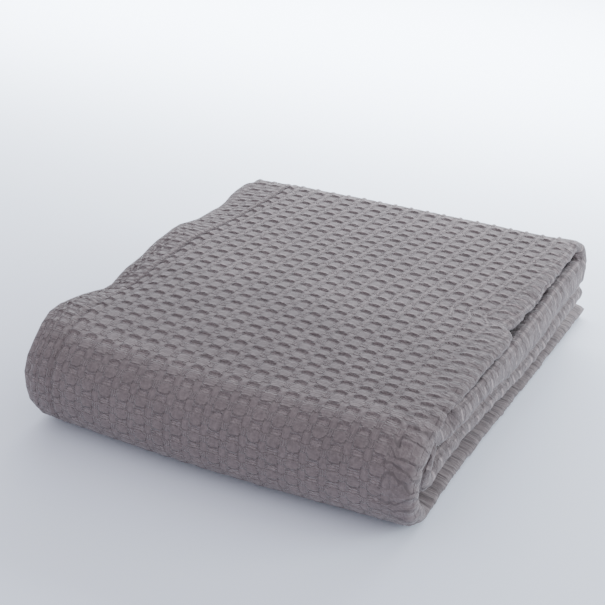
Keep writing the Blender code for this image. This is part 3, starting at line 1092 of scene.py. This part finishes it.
def cloth_parts(tree, flat, cells):
    """Work out where a point lies in the cloth, the cloth's threads and noises, and the masks of its painted
    light and shade.
    """
    across, along = split(tree, cells)[:2]
    from_middle, in_row = in_cell(tree, across, along)
    on_lip = band(tree, across, *LIP_COLUMNS)
    off_lip = less_by(tree, on_lip)
    in_hem = band(tree, across, *HEM_COLUMNS)
    # The top's share: the tones give the top and the front different painted light and shade
    on_top = ranged(tree, along, *TOP_ROWS, 1.0, 0.0)
    rib = band(tree, from_middle, *RIB)

    # The pillow is a raised round, with a smaller smooth patch beside each pit
    wide = maths(tree, "POWER", times(tree, from_middle, ROUND_ACROSS), 2.0)
    long = maths(tree, "POWER", mixed_in(tree, in_row, ROUND_ALONG, -ROUND_MIDDLE), 2.0)
    from_centre = maths(tree, "SQRT", maths(tree, "ADD", wide, long))
    pillow = times(tree, band(tree, from_centre, *PILLOW_ROUND), off_lip)
    # A painted shadow arc under each pillow's lower edge
    arc = times(tree, band(tree, from_centre, *ARC_SHADOW_ROUND), band(tree, in_row, *ARC_SHADOW_ROWS), off_lip)
    off_row_middle = maths(tree, "ABSOLUTE", maths(tree, "SUBTRACT", in_row, 0.5))
    patch = times(tree, band(tree, from_middle, *PATCH_SIDE), band(tree, off_row_middle, *PATCH_OFF_MIDDLE))
    rough = less_by(tree, maths(tree, "MAXIMUM", pillow, patch), THREADS_LOST_WHERE_SMOOTH)
    pit = times(tree, band(tree, from_middle, *PIT_MIDDLE), band(tree, in_row, *PIT_ROWS), off_lip)

    # Threads run along the ribs and across the pits, and are flatter on the lips
    mix = add_node(tree, "ShaderNodeMix", data_type="FLOAT")
    tree.links.new(rib, mix.inputs["Factor"])
    tree.links.new(stripes(tree, flat, "pit_threads"), mix.inputs[2])
    tree.links.new(stripes(tree, flat, "rib_threads"), mix.inputs[3])
    threads = times(tree, mix.outputs[0], rough, less_by(tree, on_lip, THREADS_LOST_ON_LIP))
    noises = {name: noise(tree, flat, *size, NOISE_ROUGHNESS) for name, size in NOISES.items()}
    # Painted shade in the lips' creases
    painted_crease_shade = band(tree, stripes(tree, flat, "painted_crease_stripes"), *PAINTED_CREASE_CREST)

    # Raised lines are paler, partly as pale threads and partly as painted highlight: the ribs' middles, and a
    # painted highlight on the crest over each pit
    crest = times(tree, band(tree, in_row, *CREST_HIGHLIGHT_ROWS), less_by(tree, rib), CREST_HIGHLIGHT)
    lines = maths(tree, "MAXIMUM", band(tree, from_middle, *RIB_LINE), crest)
    return noises | {
        "on_top": on_top,
        "rough": rough,
        "pillow": pillow,
        "arc": arc,
        "pit": pit,
        "threads": threads,
        "hem_ribs": times(tree, stripes(tree, flat, "hem_ribs"), in_hem),
        "painted_crease_shade": times(tree, painted_crease_shade, on_lip, noises["grain"], PAINTED_CREASE_STRENGTH),
        "lines": times(tree, lines, less_by(tree, in_hem, LINES_LOST_IN_HEM)),
        "groove": band(tree, across, *GROOVE_SHADE_COLUMNS),
        "painted_shoulder_shade": band(tree, along, *SHOULDER_SHADE_ROWS),
    }


def cloth_bump(tree, parts):
    """Raise the pillows, threads, hem ribs and fuzz."""
    relief = parts["threads"]
    rough_grain = times(tree, parts["grain"], parts["rough"])
    for name, weight in BUMPS.items():
        relief = mixed_in(tree, rough_grain if name == "grain" else parts[name], weight, relief)
    bump = add_node(tree, "ShaderNodeBump")
    bump.inputs["Strength"].default_value = 1.0
    bump.inputs["Distance"].default_value = BUMP_DISTANCE
    tree.links.new(relief, bump.inputs["Height"])
    return bump.outputs["Normal"]


def cloth_tone(tree, parts):
    """Add up what lightens and darkens the cloth, with painted light and shade, from 0, darkest, to 1,
    palest.
    """
    tone = 0.0
    for name, (top, front) in TONES.items():
        weight = mixed_in(tree, parts["on_top"], top - front, front)
        value = parts.get(name, 1.0)
        if name in ("grain", "patches"):
            value = maths(tree, "SUBTRACT", value, 0.5)
        tone = mixed_in(tree, value, weight, tone)
    return tone


def cloth_material(colours, name="pique_cloth"):
    """Matt cotton: smooth pillows, thick threads on the ribs and in the pits, fine fuzz, and painted light
    and shade in its tone.
    """
    material = bpy.data.materials.new(name)
    material.use_nodes = True
    tree = material.node_tree
    shader = tree.nodes["Principled BSDF"]
    flat = scaled(tree, add_node(tree, "ShaderNodeUVMap", uv_map="cloth").outputs[0], colours.cloth_length)
    cells = add_node(tree, "ShaderNodeUVMap", uv_map="cells").outputs[0]
    parts = cloth_parts(tree, flat, cells)
    tree.links.new(cloth_bump(tree, parts), shader.inputs["Normal"])
    ramp = add_node(tree, "ShaderNodeValToRGB")
    tree.links.new(cloth_tone(tree, parts), ramp.inputs["Fac"])
    for element, place, share in zip(ramp.color_ramp.elements, (0.0, 1.0), (DARKEST, PALEST)):
        element.position = place
        element.color = [min(1.0, share * v) for v in colours.cloth[:3]] + [1.0]
    # Painted shade: the creases of the right side are darkened once more, standing in for the shade in their
    # clefts
    darker = less_by(tree, parts["painted_crease_shade"], CREASE_SHADE)
    tree.links.new(scaled(tree, ramp.outputs["Color"], darker), shader.inputs["Base Color"])
    shader.inputs["Roughness"].default_value = 0.92
    shader.inputs["Sheen Weight"].default_value = 0.20
    shader.inputs["Sheen Roughness"].default_value = 0.5
    shader.inputs["Specular IOR Level"].default_value = 0.18
    return material


def length_property(name, description, default):
    """Declare a property that is a length."""
    return FloatProperty(name=name, description=description, default=default, unit="LENGTH")


class BlanketSizes(bpy.types.PropertyGroup):
    package_width: length_property("Package Width", "Width of the folded package", 0.330)
    package_depth: length_property("Package Depth", "Depth of the folded package", 0.356)
    layer_pitch: length_property("Layer Pitch", "Height from one layer to the next", 0.0053)
    cloth_thickness: length_property("Cloth Thickness", "Thickness of the cloth with its relief", 0.0034)
    front_fold_depth: length_property("Front Fold Depth", "How far the large front fold is rounded", 0.0430)
    hem_width: length_property("Hem Width", "Width of the hem along the left side", 0.0290)
    cell_width: length_property("Cell Width", "Width of a cell of the weave", 0.0157)
    cell_length: length_property("Cell Length", "Usual length of a cell of the weave", 0.0125)
    arc_depth: length_property("Arc Depth", "How far a cell's back edge is bowed", 0.0016)
    pit_depth: length_property("Pit Depth", "Depth of the pit behind each cell's crest", 0.00058)
    rib_height: length_property("Rib Height", "Height of the ribs along the columns", 0.0009)
    seed: IntProperty(name="Seed", description="Seed of the small unevenness", default=11)


class BlanketColours(bpy.types.PropertyGroup):
    cloth: FloatVectorProperty(
        name="Cloth", description="Colour of the cotton", subtype="COLOR", size=3,
        default=(0.196, 0.160, 0.157), min=0.0, max=1.0)
    floor: FloatVectorProperty(
        name="Floor", description="Colour of the studio floor", subtype="COLOR", size=3,
        default=(0.88, 0.92, 1.0), min=0.0, max=1.0)
    cloth_length: length_property("Cloth Length", "Length of the flat cloth, which scales the threads", 1.386)


class BLANKET_OT_cloth(bpy.types.Operator):
    """Fold the cloth and press its woven relief into it"""

    bl_idname = "blanket.fold_cloth"
    bl_label = "Fold Cloth"

    def execute(self, context):
        sizes = context.scene.blanket_sizes
        colours = context.scene.blanket_colours
        cloth = Cloth(sizes)
        weave = Weave(sizes, cloth)
        colours.cloth_length = cloth.length
        values = {
            "Pit Depth": sizes.pit_depth,
            "Rib Height": sizes.rib_height,
            "Seed": sizes.seed,
            "Material": cloth_material(colours),
        }
        piece = bake("folded_cloth", mesh_cloth(cloth, weave), relief_tree(), values)
        check = bmesh.new()
        check.from_mesh(piece.data)
        if any(not edge.is_manifold for edge in check.edges):
            raise RuntimeError("the cloth isn't closed")
        if check.calc_volume(signed=True) < 0.0:
            raise RuntimeError("the cloth's faces point inwards")
        check.free()
        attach(piece, "root")
        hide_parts("blanket")
        return {"FINISHED"}


# The camera, measured in the photo: its angles, what it aims at, how far away it is, and in
# pixels its focal length, the picture's side and how far the view's middle is moved
AZIMUTH = math.radians(27.69)
ELEVATION = math.radians(28.19)
AIM = (0.0, 0.0219, 0.035)
CAMERA_DISTANCE = 1.0933
FOCAL_PIXELS = 1326.4
PICTURE_SIDE = 605.0
SHIFT_PIXELS = (-30.23, 22.54)
SENSOR_WIDTH = 36.0

# The light from the right, and the low one that brightens the far floor
LIGHT_COLUMNS = ("name", "place", "target", "size", "power", "colour")
LIGHTS = (
    ("window", (1.30, 0.40, 0.48), (0.0, 0.0, 0.03), (0.8, 0.6), 16.0, (0.86, 1.0, 1.06)),
    ("back", (-0.45, 0.98, 0.42), (-0.45, 0.98, 0.0), (1.9, 0.8), 64.0, (0.92, 1.0, 1.08)),
)
AIR_COLOUR = (0.955, 0.96, 1.08, 1.0)
AIR_STRENGTH = 1.03
FLOOR_CORNERS = ((-4.0, -3.0, 0.0), (4.0, -3.0, 0.0), (4.0, 6.0, 0.0), (-4.0, 6.0, 0.0))


def studio_floor(colour):
    """Lay a plain pale floor."""
    mesh = bpy.data.meshes.new("studio_floor")
    mesh.from_pydata(FLOOR_CORNERS, [], [(0, 1, 2, 3)])
    floor = bpy.data.objects.new("studio_floor", mesh)
    bpy.context.scene.collection.objects.link(floor)
    material = bpy.data.materials.new("studio_paper")
    material.use_nodes = True
    shader = material.node_tree.nodes["Principled BSDF"]
    shader.inputs["Base Color"].default_value = list(colour[:3]) + [1.0]
    shader.inputs["Roughness"].default_value = 0.9
    shader.inputs["Specular IOR Level"].default_value = 0.1
    mesh.materials.append(material)
    return floor


def area_light(name, place, target, size, power, colour):
    """Hang a flat light that faces its target."""
    light = bpy.data.lights.new(name, "AREA")
    light.shape = "RECTANGLE"
    light.size = size[0]
    light.size_y = size[1]
    light.energy = power
    light.color = colour
    lamp = bpy.data.objects.new(name, light)
    bpy.context.scene.collection.objects.link(lamp)
    lamp.location = place
    lamp.rotation_euler = (Vector(place) - Vector(target)).to_track_quat("Z", "Y").to_euler()


def studio_air():
    """Fill the room with a soft pale light."""
    world = bpy.data.worlds.new("studio_air")
    world.use_nodes = True
    background = world.node_tree.nodes["Background"]
    background.inputs["Color"].default_value = AIR_COLOUR
    background.inputs["Strength"].default_value = AIR_STRENGTH
    return world


def photo_camera():
    """Set the camera at the photo's viewing angle."""
    right = Vector((math.cos(AZIMUTH), math.sin(AZIMUTH), 0.0))
    back = Vector((
        math.sin(AZIMUTH) * math.cos(ELEVATION),
        -math.cos(AZIMUTH) * math.cos(ELEVATION),
        math.sin(ELEVATION),
    ))
    data = bpy.data.cameras.new("camera")
    data.sensor_width = SENSOR_WIDTH
    data.lens = FOCAL_PIXELS * SENSOR_WIDTH / PICTURE_SIDE
    data.shift_x = SHIFT_PIXELS[0] / PICTURE_SIDE
    data.shift_y = SHIFT_PIXELS[1] / PICTURE_SIDE
    data.clip_end = 50.0
    camera = bpy.data.objects.new("camera", data)
    bpy.context.scene.collection.objects.link(camera)
    matrix = Matrix((right, back.cross(right), back)).transposed().to_4x4()
    matrix.translation = Vector(AIM) + Vector((*SHIFT, 0.0)) + CAMERA_DISTANCE * back
    camera.matrix_world = matrix
    return camera


class BLANKET_OT_studio(bpy.types.Operator):
    """Set up the floor, the lights and the camera"""

    bl_idname = "blanket.set_studio"
    bl_label = "Set Studio"

    def execute(self, context):
        studio_floor(context.scene.blanket_colours.floor)
        for row in LIGHTS:
            area_light(**dict(zip(LIGHT_COLUMNS, row)))
        context.scene.world = studio_air()
        context.scene.camera = photo_camera()
        return {"FINISHED"}


class BLANKET_PT_panel(bpy.types.Panel):
    """Sizes, colours and build steps of the blanket"""

    bl_label = "Blanket"
    bl_idname = "BLANKET_PT_panel"
    bl_space_type = "VIEW_3D"
    bl_region_type = "UI"
    bl_category = "Blanket"

    def draw(self, context):
        layout = self.layout
        for group in (context.scene.blanket_sizes, context.scene.blanket_colours):
            box = layout.box()
            for name in group.bl_rna.properties.keys():
                if name not in ("rna_type", "name"):
                    box.prop(group, name)
        layout.operator(BLANKET_OT_cloth.bl_idname)
        layout.operator(BLANKET_OT_studio.bl_idname)


CLASSES = (BlanketSizes, BlanketColours, BLANKET_OT_cloth, BLANKET_OT_studio, BLANKET_PT_panel)


def register():
    for item in CLASSES:
        bpy.utils.register_class(item)
    bpy.types.Scene.blanket_sizes = PointerProperty(type=BlanketSizes)
    bpy.types.Scene.blanket_colours = PointerProperty(type=BlanketColours)


def unregister():
    del bpy.types.Scene.blanket_sizes
    del bpy.types.Scene.blanket_colours
    for item in reversed(CLASSES):
        bpy.utils.unregister_class(item)


def main():
    """Build everything in order."""
    register()
    bpy.ops.blanket.fold_cloth()
    bpy.ops.blanket.set_studio()


if __name__ == "__main__":
    main()
